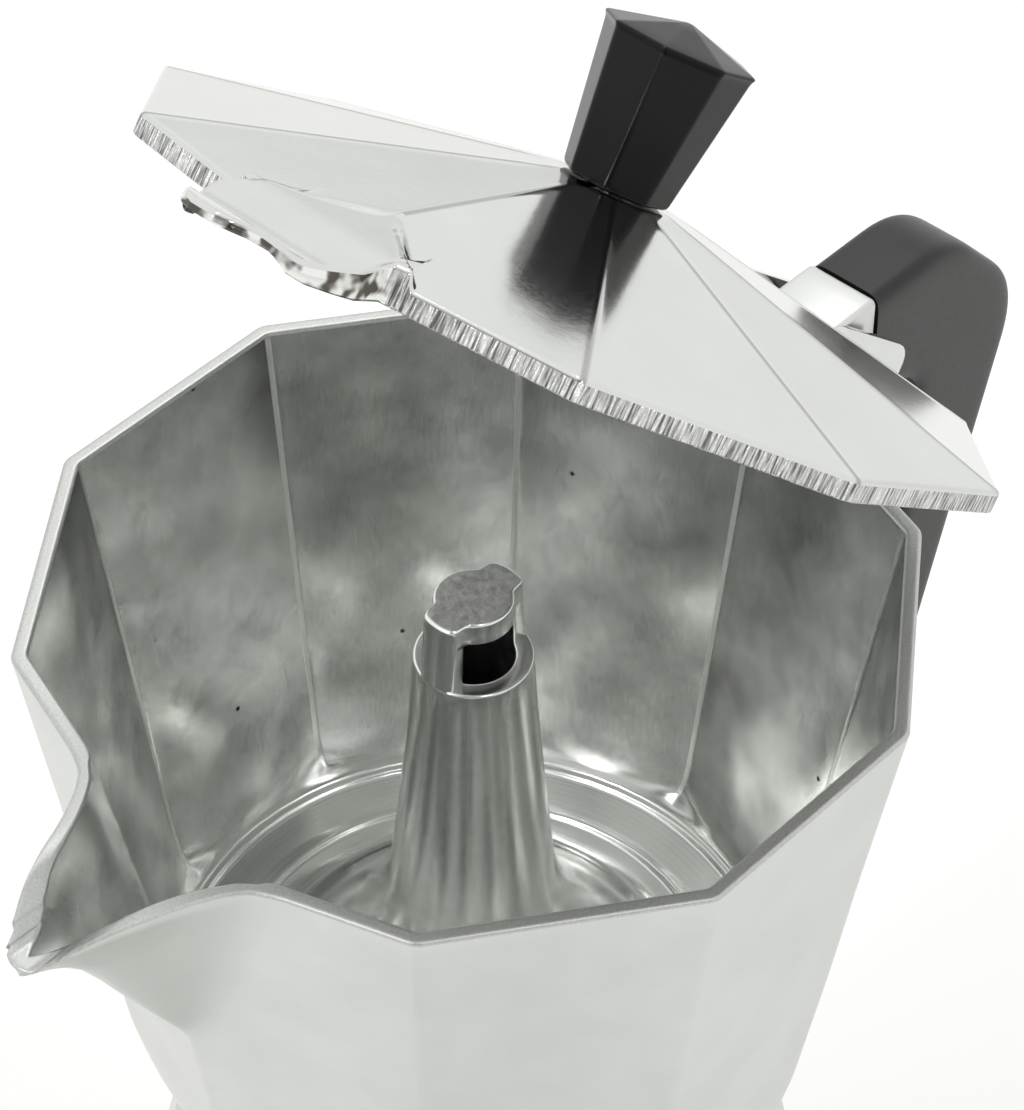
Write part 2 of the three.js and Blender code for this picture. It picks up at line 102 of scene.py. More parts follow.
FLOOR_HALF = 4.0
FLOOR_LEVEL = -0.0002
floor_mesh = bpy.data.meshes.new("floor")
floor_mesh.from_pydata([(FLOOR_HALF * x, FLOOR_HALF * y, FLOOR_LEVEL)
                        for x, y in ((-1, -1), (1, -1), (1, 1), (-1, 1))],
                       [], [(0, 1, 2, 3)])
floor = bpy.data.objects.new("floor", floor_mesh)
scene.collection.objects.link(floor)
table = new_finish("matt_white_table", Base_Color=linear("#f6f6f4"), Roughness=0.7)[0]
floor_mesh.materials.append(table)


def softbox(name, place, size, power):
    """A square area light at a place in metres, turned to face the pot's rim."""
    lamp = bpy.data.lights.new(name, "AREA")
    lamp.size = size
    lamp.energy = power
    light = bpy.data.objects.new(name, lamp)
    light.location = place
    towards = Vector((0, 0, RIM * MM)) - Vector(place)
    light.rotation_mode = "QUATERNION"
    light.rotation_quaternion = towards.to_track_quat("-Z", "Y")
    scene.collection.objects.link(light)


softbox("softbox_spout", (-1.1, 0.2, 1.3), 0.35, 4.5)
softbox("softbox_handle", (0.7, 0.5, 1.5), 0.3, 3.0)
softbox("softbox_front", (-0.3, -0.9, 1.6), 0.3, 3.0)

# The room is bright all round and dimmer on the side that the camera stands on.
world = bpy.data.worlds.new("studio")
world.use_nodes = True
scene.world = world
sky = world.node_tree
facing = add(sky, "ShaderNodeVectorMath", {
    0: add(sky, "ShaderNodeTexCoord").outputs["Generated"],
    1: Vector((back.x, back.y, back.z * 1.1)).normalized()}, operation="DOT_PRODUCT")
dimming = add(sky, "ShaderNodeMapRange", {
    "Value": facing.outputs["Value"], "From Min": 0.7, "From Max": 0.99,
    "To Min": 1.1, "To Max": 0.3}, interpolation_type="SMOOTHSTEP")
sky.links.new(dimming.outputs["Result"], sky.nodes["Background"].inputs["Strength"])
sky.nodes["Background"].inputs["Color"].default_value = linear("#fdfefe")

# ---- Boiler --------------------------------------------------------------------------------
# The lower vessel is one aluminium gravity casting with ten flats, a valve pad on one flat and
# a turned, threaded neck. Its outside is ground and satin polished; inside it is as cast.

SIDES = 10
HALF_SIDE = math.pi / SIDES
VALVE_Z = 68.0
VALVE_FACE = 57.0
THREAD_START = 104.6
THREAD_TURNS = 2
THREAD_PITCH = 3.5
THREAD_DEPTH = 1.0
THREAD_FOOT = 0.85
THREAD_SLOPE = 0.4


def polygon(angle, corner, rounding, sides=SIDES):
    """Distance from the axis to a regular outline whose corner lies at angle 0.

    Along a flat it is the flat's distance over the cosine of the angle to the flat's middle.
    Near a corner it is the far crossing with a circle of the rounding radius that touches both
    flats."""
    half = math.pi / sides
    turn = np.abs((angle + half) % (2 * half) - half)
    flat = corner * math.cos(half) / np.cos(half - turn)
    centre = corner - rounding / math.cos(half)
    under_root = np.maximum(rounding ** 2 - (centre * np.sin(turn)) ** 2, 0)
    arc = centre * np.cos(turn) + np.sqrt(under_root)
    touch = np.arctan2(rounding * math.sin(half), centre + rounding * math.cos(half))
    return np.where(turn < touch, arc, flat)


def filleted(points, longest=6.0, steps=5):
    """A path through points whose last value is each one's rounding.

    A corner becomes a parabola from the rounding's length before it to the same length after
    it, and a straight stretch longer than `longest` is divided evenly. The first two values
    are a place, and any others are carried along with it."""
    points = np.asarray(points, float)
    values, rounding = points[:, :-1], points[:, -1]
    path = [values[:1]]
    for i in range(1, len(values) - 1):
        before, here, after = values[i - 1:i + 2]
        spans = [np.hypot(*(other - here)[:2]) for other in (before, after)]
        cut = [min(rounding[i] / span, 0.5) if span else 0 for span in spans]
        start, end = here + (before - here) * cut[0], here + (after - here) * cut[1]
        t = np.linspace(0, 1, steps if rounding[i] else 1)[:, None]
        path.append((1 - t) ** 2 * start + 2 * t * (1 - t) * here + t ** 2 * end)
    path = np.concatenate([*path, values[-1:]])
    full = [path[:1]]
    for a, b in zip(path[:-1], path[1:]):
        count = max(1, math.ceil(np.hypot(*(b - a)[:2]) / longest))
        full.append(a + (b - a) * (np.arange(1, count + 1) / count)[:, None])
    return np.concatenate(full)


# Columns close together at the ten corners, and further apart along the flats.
beside_corner = np.array([-18, -12, -6, -3, -1.9, -1.3, -0.9, -0.6, -0.3,
                          0, 0.3, 0.6, 0.9, 1.3, 1.9, 3, 6, 12])
columns = np.radians((np.arange(SIDES)[:, None] * 36 + beside_corner).ravel())


def ringed(path, angles):
    """Rings round the axis from a path of [radius, height, facets, corner rounding].

    A ring's radius is the path's radius times a mix of one and the ten-sided outline, where
    facets is 1 for flats and 0 for a circle. A faceted radius is that of the corners."""
    radius, height, facets, rounding = path.T[:, :, None]
    shape = polygon(angles[None], 1.0, rounding / np.maximum(radius, 1.0))
    reach = radius * (facets * shape + 1 - facets)
    return reach, height + 0 * reach


def thread(angles, height, phase):
    """A thread's rise: a trapezoid wave along the height that climbs one pitch in each turn.

    It grows from nothing over the first quarter turn and dies away over the last."""
    turn = (height - THREAD_START) / THREAD_PITCH - phase
    across = np.abs((turn - angles / (2 * math.pi)) % 1 - 0.5) * THREAD_PITCH
    ridge = np.clip((THREAD_FOOT - across) / THREAD_SLOPE, 0, 1)
    ends = np.clip(turn * 4, 0, 1) * np.clip((THREAD_TURNS - turn) * 4, 0, 1)
    return THREAD_DEPTH * ridge * ends


def standing(reach, height, angles):
    """Points in millimetres from radii, heights and angles round the upright axis."""
    return np.stack([reach * np.cos(angles), reach * np.sin(angles), height], -1)


def skin(rings, looped=False):
    """Vertices, faces and each face's place in the rings for a skin over rings of points.

    Neighbouring rings are joined by quads. The last ring joins the first where `looped`, and
    otherwise both end rings close on a point at their own middle."""
    count, around, _ = rings.shape
    across = count if looped else count - 1
    i, j = np.meshgrid(np.arange(across), np.arange(around), indexing="ij")
    follow, beside = (i + 1) % count, (j + 1) % around
    quads = np.stack([i * around + j, i * around + beside,
                      follow * around + beside, follow * around + j], -1).reshape(-1, 4)
    verts = rings.reshape(-1, 3)
    faces, cell = quads.tolist(), (i * around + j).ravel().tolist()
    if not looped:
        verts = np.concatenate([verts, rings[[0, -1]].mean(1)])
        k = np.arange(around)
        end = (count - 1) * around
        first = np.stack([(k + 1) % around, k, 0 * k + count * around], 1)
        last = np.stack([end + k, end + (k + 1) % around, 0 * k + count * around + 1], 1)
        faces += first.tolist() + last.tolist()
        cell += k.tolist() + (k + (count - 2) * around).tolist()
    corner = verts[[face[:3] for face in faces]]
    other = verts[[face[-1] for face in faces]]
    volume = np.einsum("ij,ij->", corner[:, 0], np.cross(corner[:, 1], corner[:, 2]))
    volume += np.einsum("ij,ij->", corner[:, 0], np.cross(corner[:, 2], other))
    if volume < 0:
        faces = [face[::-1] for face in faces]
    return verts, faces, cell


def piece(name, made, finishes, paint=None, crease=40):
    """A new object at the origin from a skin in millimetres, smooth but for sharp creases.

    The paint is the number of each cell's finish, by ring and column."""
    verts, faces, cell = made
    mesh = bpy.data.meshes.new(name)
    mesh.from_pydata((verts * MM).tolist(), [], faces)
    for finish in finishes:
        mesh.materials.append(finish)
    if paint is not None:
        mesh.polygons.foreach_set("material_index", paint.ravel()[cell])
    mesh.shade_smooth()
    mesh.set_sharp_from_angle(angle=math.radians(crease))
    made_object = bpy.data.objects.new(name, mesh)
    scene.collection.objects.link(made_object)
    return made_object


def combine(base, other, operation, crease=40):
    """Joins another solid to a piece, or cuts it away, and keeps the result as plain mesh."""
    modifier = base.modifiers.new(operation, "BOOLEAN")
    modifier.operation = operation
    modifier.solver = "MANIFOLD"
    modifier.object = other
    graph = bpy.context.evaluated_depsgraph_get()
    mesh = bpy.data.meshes.new_from_object(base.evaluated_get(graph), depsgraph=graph)
    base.modifiers.clear()
    spent = [base.data, other.data]
    base.data = mesh
    bpy.data.objects.remove(other)
    for old in spent:
        bpy.data.meshes.remove(old)
    mesh.shade_smooth()
    mesh.set_sharp_from_angle(angle=math.radians(crease))


def turned(profile, around=72):
    """Rings of a turned solid from a profile of [radius, height, rounding] points."""
    path = filleted(profile)
    angles = np.arange(around) * 2 * math.pi / around
    return standing(path[:, :1] + 0 * angles, path[:, 1:] + 0 * angles, angles)


def towards_valve(rings):
    """Turns rings about the upright axis so that up points to -Y, out of the valve's pad."""
    x, y, z = np.moveaxis(rings, -1, 0)
    return np.stack([x, -VALVE_FACE - z, VALVE_Z + y], -1)


def noise(tree, place, size, detail, **inputs):
    """The level of a noise whose patches are about a size in millimetres."""
    inputs = {"Vector": place, "Scale": 1000 / size, "Detail": detail, **inputs}
    return add(tree, "ShaderNodeTexNoise", inputs).outputs["Fac"]


def ranged(tree, value, start, end, low, high, **settings):
    """A value carried from start and end to low and high, and kept between them."""
    return add(tree, "ShaderNodeMapRange", {
        "Value": value, "From Min": start, "From Max": end, "To Min": low, "To Max": high},
        **settings).outputs["Result"]


def mixed(tree, factor, first, second):
    """A colour between two others, each given as a hex colour or as a socket."""
    first, second = (linear(c) if isinstance(c, str) else c for c in (first, second))
    return add(tree, "ShaderNodeMix", {"Factor": factor, "A": first, "B": second},
               data_type="RGBA").outputs[2]


def dress(tree, shader, colour, roughness, relief=()):
    """Links a shader's colour, roughness and normal.

    Each relief is a pattern, its depth in millimetres and its strength, and lies on the one
    before it."""
    tree.links.new(colour, shader.inputs["Base Color"])
    tree.links.new(roughness, shader.inputs["Roughness"])
    normal = None
    for height, depth, strength in relief:
        inputs = {"Height": height, "Distance": depth * MM, "Strength": strength}
        if normal:
            inputs["Normal"] = normal
        normal = add(tree, "ShaderNodeBump", inputs).outputs["Normal"]
    if normal:
        tree.links.new(normal, shader.inputs["Normal"])


# Satin-polished cast aluminium: an even, slightly milky reflection with a fine grain left by
# the belt, faint clouds where the belt pressed harder, and a barely uneven surface.
satin_casting, tree, shader, place = new_finish("satin_polished_cast_aluminium", Metallic=1.0)
clouds = noise(tree, place, 14, 4)
grain = noise(tree, place, 0.35, 3)
tone = ranged(tree, clouds, 0.3, 0.7, 0, 1)
dress(tree, shader, mixed(tree, tone, "#c9cac7", "#d0d1ce"),
      ranged(tree, grain, 0, 1, 0.24, 0.38), [(clouds, 0.06, 0.6), (grain, 0.012, 0.5)])

# As-cast aluminium: the mould's sand leaves a dull, fine-grained, darker grey surface.
as_cast, tree, shader, place = new_finish("as_cast_aluminium", Metallic=1.0)
sand = noise(tree, place, 0.5, 5)
stain = noise(tree, place, 9, 3)
dress(tree, shader, mixed(tree, stain, "#8f908e", "#b3b4b1"),
      ranged(tree, sand, 0, 1, 0.42, 0.68), [(sand, 0.08, 0.7)])

# Turned aluminium: the tool leaves fine rings, so the noise varies only with the radius and
# the height.
turned_metal, tree, shader, place = new_finish("turned_aluminium", Metallic=1.0)
xyz = add(tree, "ShaderNodeSeparateXYZ", {0: place})
plan = add(tree, "ShaderNodeCombineXYZ", {0: xyz.outputs[0], 1: xyz.outputs[1]})
radius = add(tree, "ShaderNodeVectorMath", {0: plan.outputs[0]}, operation="LENGTH")
along = add(tree, "ShaderNodeCombineXYZ", {0: radius.outputs["Value"], 1: xyz.outputs[2]})
lines = noise(tree, along.outputs[0], 0.25, 2)
dress(tree, shader, mixed(tree, lines, "#d6d7d5", "#ecedea"),
      ranged(tree, lines, 0, 1, 0.1, 0.24), [(lines, 0.01, 0.4)])

# Profile: [radius, height, facets, corner rounding, rounding along the profile].
boiler_base = filleted([
    (2, 0.6, 0, 0, 0), (46, 0.6, 0, 0, 0.5), (47, 0, 0, 0, 0.5), (61, 0, 1, 3, 2),
    (64.6, 1.4, 1, 3, 2), (65, 6, 1, 3, 3), (64.6, 14, 1, 3, 4), (62.8, 28, 1, 3, 6),
    (60, 43, 1, 3, 7), (56.6, 58, 1, 3, 7), (53.2, 72, 1, 3, 6), (50.6, 84, 1, 3, 5),
    (49.2, 91.5, 1, 3, 3), (48, 97, 1, 3, 2), (47.2, 101, 1, 3, 1), (47, 102.6, 1, 3, 0.5),
    (46.4, 103, 1, 2.6, 0.5), (39.4, 103, 0, 0, 0.8), (38.2, 104, 0, 0, 0.6),
])
neck_heights = np.arange(104.4, 112.6, 0.34)
boiler_neck = np.stack([0 * neck_heights + 38.2, neck_heights,
                        0 * neck_heights, 0 * neck_heights], 1)
boiler_inside = filleted([
    (38.2, 112.8, 0, 0, 0), (38.2, 113.5, 0, 0, 0.4), (34.6, 113.5, 0, 0, 0.5),
    (34.6, 97.5, 0, 0, 1.5), (44, 95.5, 1, 4, 2), (47, 84, 1, 4, 5), (49.6, 72, 1, 4, 6),
    (53, 58, 1, 4, 7), (56.4, 43, 1, 4, 7), (59.2, 28, 1, 4, 6), (61, 14, 1, 4, 4),
    (60.8, 3.2, 1, 4, 3), (40, 3.2, 0, 0, 2), (2, 3.2, 0, 0, 0),
])
path = np.concatenate([boiler_base, boiler_neck, boiler_inside])
reach, height = ringed(path, columns)
on_neck = np.zeros((len(path), 1))
on_neck[len(boiler_base):len(boiler_base) + len(boiler_neck)] = 1
reach = reach + on_neck * thread(columns, height, 0)
# The base's path ends in the turned shoulder, and the inside's begins with the turned mouth.
SHOULDER_RINGS = 8
MOUTH_RINGS = 10
POLISHED, LATHED, CAST = range(3)
paint = np.where(np.arange(len(path)) < len(boiler_base) - SHOULDER_RINGS, POLISHED, LATHED)
paint[len(boiler_base) + len(boiler_neck) + MOUTH_RINGS:] = CAST
paint = np.repeat(paint[:, None], len(columns), 1)
boiler = piece("boiler_casting", skin(standing(reach, height, columns)),
               [satin_casting, turned_metal, as_cast], paint)
pad = piece("pad", skin(towards_valve(turned([
    (1, -8.4, 0), (9, -8.4, 0), (9, 0, 0.6), (1, 0, 0)]))), [satin_casting])
combine(boiler, pad, "UNION")
bore = piece("bore", skin(towards_valve(turned([
    (1, -14, 0), (5, -14, 0), (5, 3, 0), (1, 3, 0)]))), [as_cast])
combine(boiler, bore, "DIFFERENCE")
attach(boiler, "base")
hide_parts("boiler")

# ---- Collector -----------------------------------------------------------------------------
# The upper vessel is one casting: ten-sided wall, poured-in spout, floor, hollow column and
# hinge block. The chamber is brushed up and down, its floor turned, and the rim ground flat.

COLLECTOR_FOOT = 103.6
COLUMN_TOP = 205.2
COLUMN_SILL = RIM - 0.186 * RIM_CORNER
COLUMN_CAP = RIM - 0.075 * RIM_CORNER
RIM_EDGE = 0.55

near_spout = math.pi + np.radians(np.arange(-19.2, 19.21, 0.4))
at_root = np.radians(np.arange(12, 16.4, 0.15))
spread = np.concatenate([columns % (2 * math.pi), near_spout, math.pi - at_root,
                         math.pi + at_root])
cup_columns = np.unique(np.round(spread, 4))
cup_columns = cup_columns[np.concatenate([[True], np.diff(cup_columns) > math.radians(0.09)])]

# Spout sections in rim radii from the wall outwards: distance, half width, lip and keel.
SPOUT = np.array([
    (0.6, 0.42, 0, -1.2), (0.86, 0.3, 0, -0.74), (0.897, 0.282, 0, -0.68),
    (0.93, 0.246, 0, -0.63), (0.978, 0.214, 0, -0.554), (1.03, 0.187, 0, -0.47),
    (1.08, 0.166, 0, -0.386), (1.13, 0.149, 0, -0.3), (1.18, 0.13, -0.002, -0.222),
    (1.235, 0.107, -0.012, -0.168), (1.29, 0.075, -0.038, -0.132),
    (1.335, 0.048, -0.062, -0.108), (1.347, 0.036, -0.07, -0.1),
]) * RIM_CORNER
SPOUT_WALL = 2.3


def spout_side(angles, thin, end):
    """Heights of the spout's side along each ray from the axis, and the ray's distances.

    At a distance x the section is a V with a rounded keel: the height falls from the lip to
    the keel by one minus the share of the half width, to the power 1.25. Past the lip the
    height climbs steeply, so that it never falls along a ray."""
    x = np.linspace(SPOUT[0, 0], end, 260)
    half, lip, keel = (np.interp(x, SPOUT[:, 0], SPOUT[:, k]) for k in (1, 2, 3))
    half = np.maximum(half - thin, 0.7)
    keel = np.minimum(keel + thin * 1.35, lip - 0.25)
    away = np.abs(angles - math.pi)[:, None]
    share = x * np.tan(np.minimum(away, 0.9)) / half
    side = lip - (lip - keel) * (1 - np.clip(share, 0, 1) ** 1.25)
    side = side + np.maximum(share - 1, 0) * 400
    return np.maximum.accumulate(side, 1), x, lip


def spout_reach(angles, depth, thin, end):
    """How far from the axis the spout's side stands at each depth below the rim."""
    side, x, _ = spout_side(angles, thin, end)
    found = np.sum(side[None] <= depth[..., None], -1)
    low = np.clip(found - 1, 0, len(x) - 2)
    column = np.arange(len(angles))[None]
    here, there = side[column, low], side[column, low + 1]
    step = np.clip((depth - here) / np.maximum(there - here, 1e-6), 0, 1)
    ahead = x[low] + step * (x[1] - x[0])
    tangent = np.tan(angles - math.pi)
    blunt = end - 0.13 * np.clip(ahead * tangent, -3, 3) ** 2
    ahead = np.minimum(ahead, blunt)
    beyond = (np.abs(angles - math.pi) < 0.6) & (found > 0)
    return np.where(beyond, ahead / np.cos(angles - math.pi), 0)


def lip_drop(angles):
    """How far the rim dips towards the spout's tip, from the lip where each ray leaves it."""
    side, x, lip = spout_side(angles, 0, SPOUT[-1, 0])
    within = np.sum(side <= lip[None] + 1e-6, 1)
    drop = lip[np.clip(within - 1, 0, len(x) - 1)]
    return np.where(np.abs(angles - math.pi) < 0.4, drop, 0)


def soft_max(a, b, soft):
    """The larger of two values, eased together where they are close and the second isn't 0."""
    return np.where(b == 0, a, (a + b + np.sqrt((a - b) ** 2 + soft ** 2)) / 2)


def dipped(height, drop):
    """Heights that sink by the whole of the rim's dip at the rim and by none below its band."""
    return height + drop * np.clip((height - (RIM - DIP_BAND)) / DIP_BAND, 0, 1)


DIP_BAND = 16.0
OUTER_TIP = SPOUT[-1, 0] - 0.03
INNER_TIP = 1.329 * RIM_CORNER
drop = lip_drop(cup_columns)
drop = np.convolve(np.pad(drop, 2, mode="wrap"), np.full(5, 0.2), "valid")

socket_heights = np.arange(114.2, 104.0, -0.34)
socket_wall = np.stack([0 * socket_heights + 39.6, socket_heights,
                        0 * socket_heights, 0 * socket_heights], 1)
outside = filleted([
    (39.6, COLLECTOR_FOOT + 0.3, 0, 0, 0), (40.2, COLLECTOR_FOOT, 0, 0, 0.3),
    (46.2, COLLECTOR_FOOT, 1, 3, 0.4), (46.8, COLLECTOR_FOOT + 0.5, 1, 3, 0.4),
    (47.4, 106.5, 1, 3, 1), (49, 111, 1, 3, 2), (50.9, 118, 1, 3, 2.5), (52.6, 125, 1, 3, 3),
    (56.9, 152, 1, 3, 6), (60.2, 175, 1, 3, 6), (65, RIM - RIM_EDGE, 1, 3, 0),
], longest=3.0)
inside = filleted([
    (62.56, RIM - RIM_EDGE, 1, 2.2, 0), (56.4, 166, 1, 2.2, 5), (50.9, 130.5, 1, 2.2, 3.5),
    (49.5, 126.2, 1, 2.2, 2.0), (46.6, 124.0, 0, 0, 0.8), (46.0, 122.9, 0, 0, 0.5),
    (45.2, 122.9, 0, 0, 0.3), (44.6, 122.2, 0, 0, 0.5), (38.4, 121.8, 0, 0, 1),
    (37.0, 122.1, 0, 0, 0.4), (36.4, 121.3, 0, 0, 0.5), (32.8, 121.2, 0, 0, 1.4),
    (30.4, 122.6, 0, 0, 1.4), (17.4, 136.6, 0, 0, 4), (14.4, 141.4, 0, 0, 2.4),
    (12.7, 146, 0, 0, 3), (11, 163, 0, 0, 4), (9.2, 184.3, 0, 0, 4),
    (8.65, COLUMN_SILL, 0, 0, 0.45), (6.0, COLUMN_SILL, 0, 0, 0.4), (6.3, 184, 0, 0, 2),
], longest=4.0)
under = filleted([
    (6.3, 184, 0, 0, 0), (8, 163, 0, 0, 2), (9.4, 146, 0, 0, 2), (11, 140.6, 0, 0, 2),
    (14.6, 133.4, 0, 0, 2), (27, 120.3, 0, 0, 1), (30.6, 120.3, 0, 0, 0),
    (30.6, 118.4, 0, 0, 0.2), (37.6, 118.4, 0, 0, 0), (37.6, 115.4, 0, 0, 0.4),
    (39.6, 114.6, 0, 0, 0.3),
], longest=8.0)

reach, height = ringed(outside, cup_columns)
height_out = dipped(height, drop)
reach_out = soft_max(reach, spout_reach(cup_columns, height_out - RIM, 0, OUTER_TIP), 1.3)
edge = np.sin(np.linspace(0, math.pi / 2, 5))[1:, None]
top = RIM + drop
out_edge = reach_out[-1] - RIM_EDGE * 0.9 * (1 - np.sqrt(1 - edge ** 2))
out_edge_height = top - RIM_EDGE + RIM_EDGE * edge

reach, height = ringed(inside, cup_columns)
height_in = dipped(height, drop)
channel = np.where(inside[:, 2:3] == 1,
                   spout_reach(cup_columns, height_in - RIM, SPOUT_WALL, INNER_TIP), 0)
reach_in = soft_max(reach, channel, 1.1)
in_edge = (reach_in[0] + RIM_EDGE * 0.9 * (1 - np.sqrt(1 - edge ** 2)))[::-1]
in_edge_height = (top - RIM_EDGE + RIM_EDGE * edge)[::-1]
across = np.linspace(0, 1, 5)[1:-1, None]
rim_flat = out_edge[-1] + (in_edge[0] - out_edge[-1]) * across
reach_under, height_under = ringed(under, cup_columns)
reach_socket, height_socket = ringed(socket_wall, cup_columns)
reach_socket = reach_socket - thread(cup_columns, height_socket, 0.5)

reaches = [reach_out, out_edge, rim_flat, in_edge, reach_in, reach_under[1:], reach_socket]
heights = [height_out, out_edge_height, top + 0 * rim_flat, in_edge_height, height_in,
           height_under[1:], height_socket]
cup = standing(np.concatenate(reaches), np.concatenate(heights), cup_columns)

# Brushed chamber wall: fine upright scratches, a blurred reflection that swells and shrinks
# with the uneven casting, and a few casting pits.
brushed_chamber, tree, shader, place = new_finish("brushed_cast_aluminium", Metallic=1.0)
upright_place = add(tree, "ShaderNodeMapping", {"Vector": place, "Scale": (1, 1, 0.012)})
brushing = noise(tree, upright_place.outputs[0], 0.3, 3)
clouds = noise(tree, place, 11, 4)
waves = noise(tree, place, 24, 1)
pits = add(tree, "ShaderNodeTexVoronoi", {"Vector": place, "Scale": 1000 / 9})
pit = ranged(tree, pits.outputs["Distance"], 0.035, 0.06, 0, 1)
mottle = add(tree, "ShaderNodeMath", {0: brushing, 1: 0.3, 2: clouds},
             operation="MULTIPLY_ADD").outputs[0]
tone = ranged(tree, mottle, 0.45, 0.85, 0, 1)
pitted = mixed(tree, pit, "#4a4a48", mixed(tree, tone, "#cfd0ce", "#f4f5f2"))
dress(tree, shader, pitted, ranged(tree, mottle, 0.4, 0.9, 0.17, 0.26), [(waves, 2, 0.6)])

# Ground rim: flat and dulled by short, fine scratches.
ground_rim, tree, shader, place = new_finish("ground_aluminium", Metallic=1.0)
scratches = noise(tree, place, 0.4, 6)
dress(tree, shader, mixed(tree, scratches, "#a2a3a0", "#d2d3d0"),
      ranged(tree, scratches, 0, 1, 0.3, 0.55), [(scratches, 0.04, 0.5)])

# Column: smooth die-cast skin with shallow marks drawn up and down it.
column_skin, tree, shader, place = new_finish("smooth_cast_aluminium", Metallic=1.0)
upright_place = add(tree, "ShaderNodeMapping", {"Vector": place, "Scale": (1, 1, 0.08)})
draw = noise(tree, upright_place.outputs[0], 4, 3)
grit = noise(tree, place, 1.0, 4)
dress(tree, shader, mixed(tree, draw, "#e0e1de", "#f0f1ee"),
      ranged(tree, grit, 0, 1, 0.14, 0.3), [(draw, 0.12, 0.3)])

# Top plate: left as the sand core made it, a dark speckled grey.
sand_face, tree, shader, place = new_finish("sand_cast_aluminium", Metallic=1.0)
sand = noise(tree, place, 1.1, 6)
dress(tree, shader, mixed(tree, sand, "#868785", "#e2e3e0"),
      ranged(tree, sand, 0, 1, 0.45, 0.7), [(sand, 0.22, 0.9)])

# Corner seams: the fillets in the chamber's corners get a brighter, even colour, a painted
# highlight for the light that the concave fillets gather.
painted_seam_highlight, tree, shader, place = new_finish("cast_aluminium_painted_seam_highlight", Metallic=1.0)
mould_grain = noise(tree, place, 1.2, 4)
dress(tree, shader, mixed(tree, mould_grain, "#e6e7e4", "#f4f5f2"),
      ranged(tree, mould_grain, 0, 1, 0.3, 0.5))

row_reach = np.concatenate(reaches).mean(1)
lengths = [len(block) for block in reaches]
starts = np.cumsum([0] + lengths)
OUTSIDE, GROUND, BRUSHED, TURNED, COLUMN, SAND, SEAM = range(7)
CHAMBER_FLOOR_REACH = 48.2
CONE_REACH = 20.0
BORE_REACH = 15.0
SEAM_HIGHLIGHT_HALF = math.radians(0.45)
SPOUT_MOUTH_HALF = 0.35
paint = np.full(starts[-1], OUTSIDE)
paint[starts[1] - 1:starts[4]] = GROUND
chamber_rows = np.arange(starts[4], starts[5])
on_wall = row_reach[chamber_rows] > CHAMBER_FLOOR_REACH
paint[chamber_rows] = np.select([on_wall, row_reach[chamber_rows] > CONE_REACH],
                                [BRUSHED, TURNED], COLUMN)
paint[starts[5]:] = np.where(row_reach[starts[5]:] < BORE_REACH, SAND, TURNED)
paint = np.repeat(paint[:, None], len(cup_columns), 1)
# Painted highlight: the chamber wall's corner columns, away from the spout's mouth, take the
# brighter seam colour.
from_corner = np.abs((cup_columns + HALF_SIDE) % (2 * HALF_SIDE) - HALF_SIDE)
seam_highlight_columns = (from_corner < SEAM_HIGHLIGHT_HALF) & (np.abs(cup_columns - math.pi) > SPOUT_MOUTH_HALF)
paint[np.ix_(chamber_rows[on_wall], seam_highlight_columns)] = SEAM
CUP_FINISHES = [satin_casting, ground_rim, brushed_chamber, turned_metal, column_skin,
                sand_face, painted_seam_highlight]
collector = piece("collector_casting", skin(cup, looped=True), CUP_FINISHES, paint)


def rounded_slab(outline, middle, low, high, edge):
    """Rings of a plate between two values of y, from its outline in x and z.

    The outline is drawn in towards a middle that sees all of it, by a quarter circle at both
    faces, which rounds every edge by about the same small radius."""
    size = np.linalg.norm(outline - middle, axis=1).mean()
    t = np.linspace(0, math.pi / 2, 5)
    inward = np.concatenate([[size * 0.98], edge * (1 - np.sin(t)),
                             edge * (1 - np.sin(t[::-1])), [size * 0.98]])
    y = np.concatenate([[low], low + edge * (1 - np.cos(t)),
                        high - edge * (1 - np.cos(t[::-1])), [high]])
    shrunk = middle + (outline - middle) * (1 - inward / size)[:, None, None]
    return np.stack([shrunk[..., 0], y[:, None] + 0 * shrunk[..., 0], shrunk[..., 1]], -1)


def closed_outline(points, longest=3.0, steps=6):
    """A closed outline with rounded corners from [x, z, rounding] points."""
    start = [(points[0][0] + points[-1][0]) / 2, (points[0][1] + points[-1][1]) / 2, 0]
    return filleted([start, *points, start], longest, steps)[:-1]


# Hinge block and column head are made beside the cup and joined to it as one casting.
BOSS_HALF = 6.3
BOSS_END = 1.255 * RIM_CORNER
BOSS_TOP = RIM + 0.095 * RIM_CORNER
block = piece("block", skin(rounded_slab(closed_outline([
    (63.5, BOSS_TOP, 0.8), (BOSS_END, BOSS_TOP, 1.2), (BOSS_END, 190, 3), (56.9, 161.5, 0.5),
    (63.8, 205.0, 0.5)]), (70, 197), -BOSS_HALF, BOSS_HALF, 0.9)), CUP_FINISHES)
combine(collector, block, "UNION")

WEB_HALF = 3.0
web_turn = np.linspace(0, 2 * math.pi, 49)[:-1]
for side in (-1, 1):
    web_z = np.array([COLUMN_SILL - 2.5, COLUMN_SILL - 1, COLUMN_SILL, 197, 200, COLUMN_CAP,
                      203, COLUMN_TOP - 0.6])
    outer = 8.62 - 0.066 * (web_z - COLUMN_SILL)
    inner = 5.7
    power = 0.32
    u = np.sign(np.cos(web_turn)) * np.abs(np.cos(web_turn)) ** power
    v = np.sign(np.sin(web_turn)) * np.abs(np.sin(web_turn)) ** power
    radius = ((outer + inner) / 2)[:, None] + ((outer - inner) / 2)[:, None] * u
    y = WEB_HALF * v + 0 * radius
    x = side * np.sqrt(np.maximum(radius ** 2 - y ** 2, 1))
    web = piece("web", skin(np.stack([x, y, web_z[:, None] + 0 * x], -1)), CUP_FINISHES,
                np.full(x.shape, COLUMN))
    combine(collector, web, "UNION")

